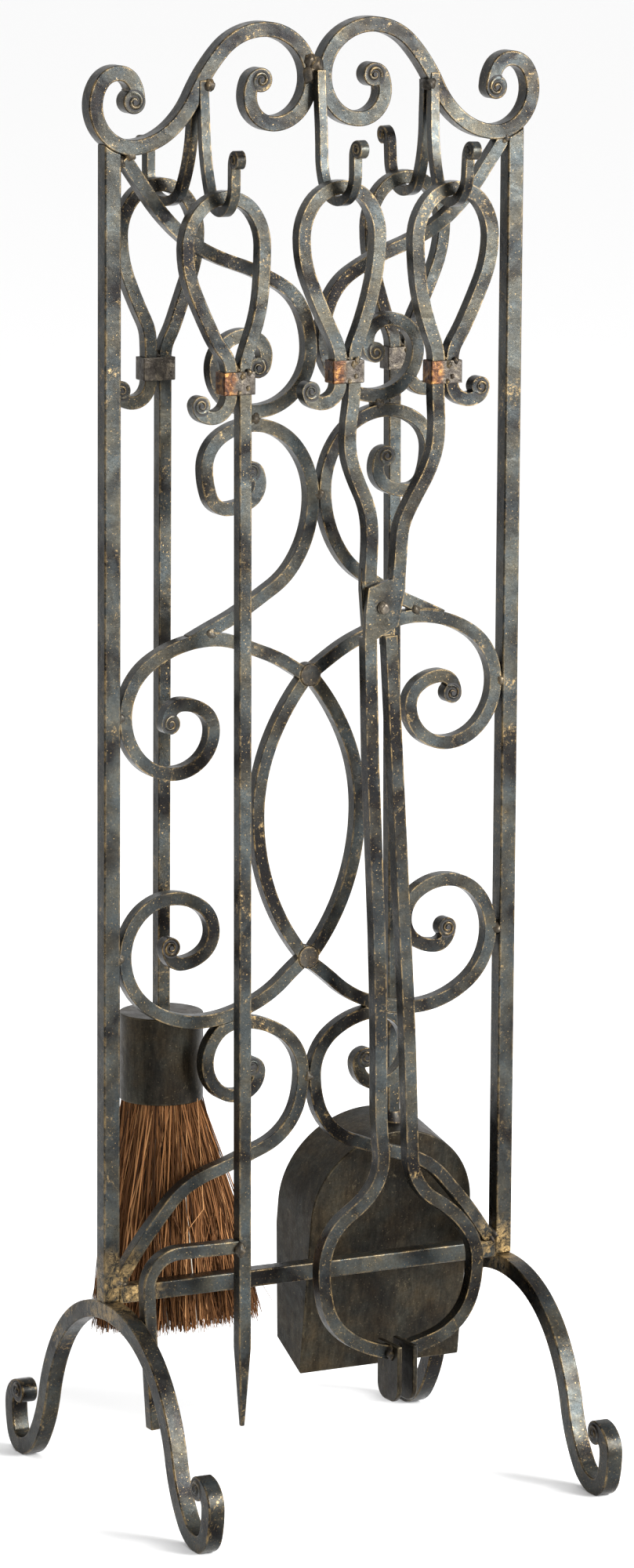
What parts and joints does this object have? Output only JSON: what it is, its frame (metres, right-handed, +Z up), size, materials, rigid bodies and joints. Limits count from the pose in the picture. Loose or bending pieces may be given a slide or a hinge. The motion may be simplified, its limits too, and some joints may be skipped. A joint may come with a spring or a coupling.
{
  "type": "fireplace tool set with stand",
  "caption": "Wrought scrollwork stand on arched feet, with a poker, tongs, a brush and a shovel that hang by their loop handles from hooks under the crest.",
  "frame": {"origin": "on the floor in the middle of the four feet", "axes": "+X along the scrolled panel to the right seen from the front, +Y to the rear, +Z up; the front hooks are at -Y"},
  "size_m": [0.2834, 0.261, 0.8342],
  "materials": {
    "wrought_steel": "dark blue-grey forge finish with bronze rub on edges and raised faces",
    "collar_steel": "dark steel strap with a coppery heat tint",
    "sheet_steel": "dark blue-grey sheet with rubbed edges",
    "rivet_steel": "dark forged rivet with a worn head",
    "weld_steel": "rough dark weld with gold patina",
    "block_wood": "plain turned wood",
    "bristle_fibre": "stiff red-brown plant fibre"
  },
  "bodies": {
    "stand": {"post_left": "wrought_steel", "post_right": "wrought_steel", "lower_rail": "wrought_steel", "foot_left": "wrought_steel", "foot_right": "wrought_steel", "crest_left": "wrought_steel", "crest_right": "wrought_steel", "top_scroll_left": "wrought_steel", "heart_scroll_left": "wrought_steel", "shoulder_scroll_left": "wrought_steel", "lens_bar_left": "wrought_steel", "hip_scroll_left": "wrought_steel", "base_scroll_left": "wrought_steel", "top_scroll_right": "wrought_steel", "heart_scroll_right": "wrought_steel", "shoulder_scroll_right": "wrought_steel", "lens_bar_right": "wrought_steel", "hip_scroll_right": "wrought_steel", "base_scroll_right": "wrought_steel", "upper_crossing": "weld_steel", "lower_crossing": "weld_steel", "hook_front_left": "wrought_steel", "hook_front_middle": "wrought_steel", "hook_front_right": "wrought_steel", "hook_rear_left": "wrought_steel", "hook_rear_right": "wrought_steel"},
    "poker": {"poker_bar": "wrought_steel", "poker_barb": "wrought_steel", "poker_collar": "collar_steel"},
    "brush": {"brush_bar": "wrought_steel", "brush_collar": "collar_steel", "brush_ferrule": "sheet_steel", "brush_block": "block_wood", "brush_bristles": "bristle_fibre"},
    "shovel": {"shovel_bar": "wrought_steel", "shovel_collar": "collar_steel", "shovel_pan": "sheet_steel", "shovel_weld": "weld_steel"},
    "tongs_pivot": {"tongs_rivet": "rivet_steel", "tongs_washer": "rivet_steel"},
    "tongs_front": {"tongs_arm_front": "wrought_steel", "tongs_claw_left": "sheet_steel", "tongs_collar_right": "collar_steel"},
    "tongs_rear": {"tongs_arm_rear": "wrought_steel", "tongs_claw_right": "sheet_steel", "tongs_collar_left": "collar_steel"}
  },
  "joints": [
    {"name": "poker_lift", "type": "slide", "parent": "stand", "child": "poker", "axis": [0, 0, 1], "range_m": [0, 0.04]},
    {"name": "brush_lift", "type": "slide", "parent": "stand", "child": "brush", "axis": [0, 0, 1], "range_m": [0, 0.04]},
    {"name": "shovel_lift", "type": "slide", "parent": "stand", "child": "shovel", "axis": [0, 0, 1], "range_m": [0, 0.04]},
    {"name": "tongs_lift", "type": "slide", "parent": "stand", "child": "tongs_pivot", "axis": [0, 0, 1], "range_m": [0, 0.04]},
    {"name": "tongs_front_open", "type": "hinge", "parent": "tongs_pivot", "child": "tongs_front", "pos_m": [0.027, -0.0264, 0.506], "axis": [0, 1, 0], "range_deg": [0, 2.8]},
    {"name": "tongs_rear_open", "type": "hinge", "parent": "tongs_pivot", "child": "tongs_rear", "pos_m": [0.027, -0.0264, 0.506], "axis": [0, 1, 0], "range_deg": [-2.8, 0]}
  ],
  "couplings": [
    {"joint": "tongs_front_open", "follows": "tongs_lift", "rad_per_m": 1.2215},
    {"joint": "tongs_rear_open", "follows": "tongs_lift", "rad_per_m": -1.2215}
  ]
}
